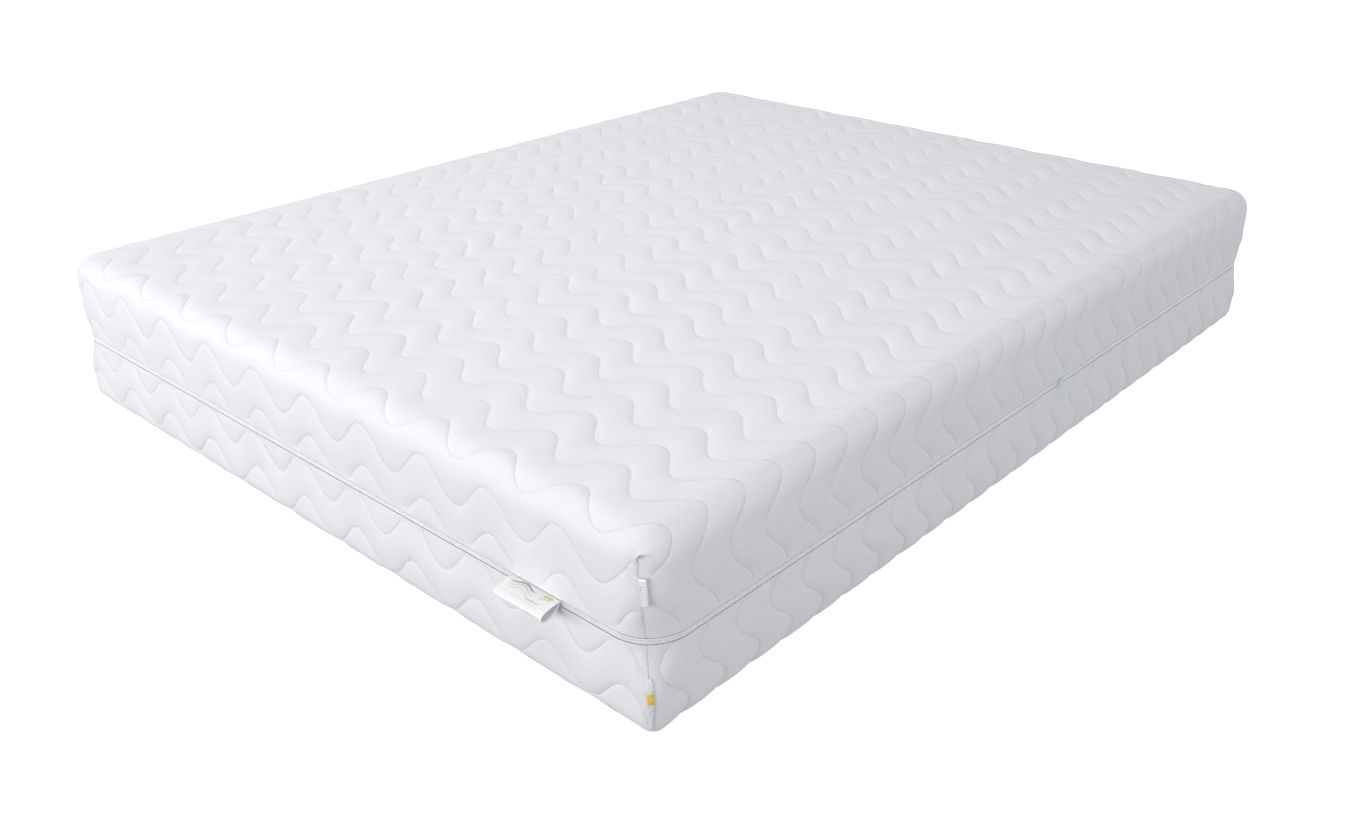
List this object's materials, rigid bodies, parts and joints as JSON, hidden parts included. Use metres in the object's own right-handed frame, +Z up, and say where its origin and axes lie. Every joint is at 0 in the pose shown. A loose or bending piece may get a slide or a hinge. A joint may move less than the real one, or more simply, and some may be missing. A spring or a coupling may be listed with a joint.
{
  "type": "memory foam mattress",
  "caption": "Double memory foam mattress: layered foam core in a stretch sleeve, inside a quilted zip-off cover with an upper and a lower half.",
  "frame": {"origin": "centre of the underside, where the mattress rests on its base", "axes": "+Z up out of the sleeping surface, +Y along the length towards the head end, +X across the width towards the side with the zip slider"},
  "size_m": [1.6257, 2.0384, 0.31],
  "materials": {
    "quilt_knit": "matte",
    "wadding": "matte",
    "backing": "matte",
    "sleeve_knit": "matte",
    "memory_foam": "matte",
    "transition_foam": "matte",
    "support_foam": "matte",
    "seam_thread": "matte",
    "zip_tape": "matte",
    "zip_coil": "satin",
    "slider_enamel": "gloss",
    "label_satin": "satin"
  },
  "bodies": {
    "mattress_base": {"memory_foam_layer": "memory_foam", "transition_foam_layer": "transition_foam", "support_foam_core": "support_foam", "inner_sleeve": "sleeve_knit", "lower_cover_face": "quilt_knit", "lower_cover_wadding": "wadding", "lower_cover_backing": "backing", "lower_corner_seam_foot_right": "seam_thread", "lower_corner_seam_foot_left": "seam_thread", "lower_corner_seam_head_right": "seam_thread", "lower_corner_seam_head_left": "seam_thread", "lower_zip_tape": "zip_tape", "lower_zip_coil": "zip_coil", "lower_zip_stop": "slider_enamel", "corner_label_lower": "label_satin"},
    "upper_cover": {"upper_cover_face": "quilt_knit", "upper_cover_wadding": "wadding", "upper_cover_backing": "backing", "upper_corner_seam_foot_right": "seam_thread", "upper_corner_seam_foot_left": "seam_thread", "upper_corner_seam_head_right": "seam_thread", "upper_corner_seam_head_left": "seam_thread", "upper_zip_tape": "zip_tape", "upper_zip_coil": "zip_coil", "upper_zip_stop": "slider_enamel", "loop_label": "label_satin", "corner_label_upper": "label_satin"},
    "slider": {"zip_slider": "slider_enamel"},
    "pull": {"zip_pull": "slider_enamel"}
  },
  "joints": [
    {"name": "cover_lift", "type": "slide", "parent": "mattress_base", "child": "upper_cover", "axis": [0, 0, 1], "range_m": [0, 0.32]},
    {"name": "slider_run", "type": "slide", "parent": "mattress_base", "child": "slider", "axis": [0, -1, 0], "range_m": [0, 1]},
    {"name": "pull_swing", "type": "hinge", "parent": "slider", "child": "pull", "pos_m": [0.8034, 0.1, 0.147], "axis": [0, 0, 1], "range_deg": [-115, 45]}
  ]
}
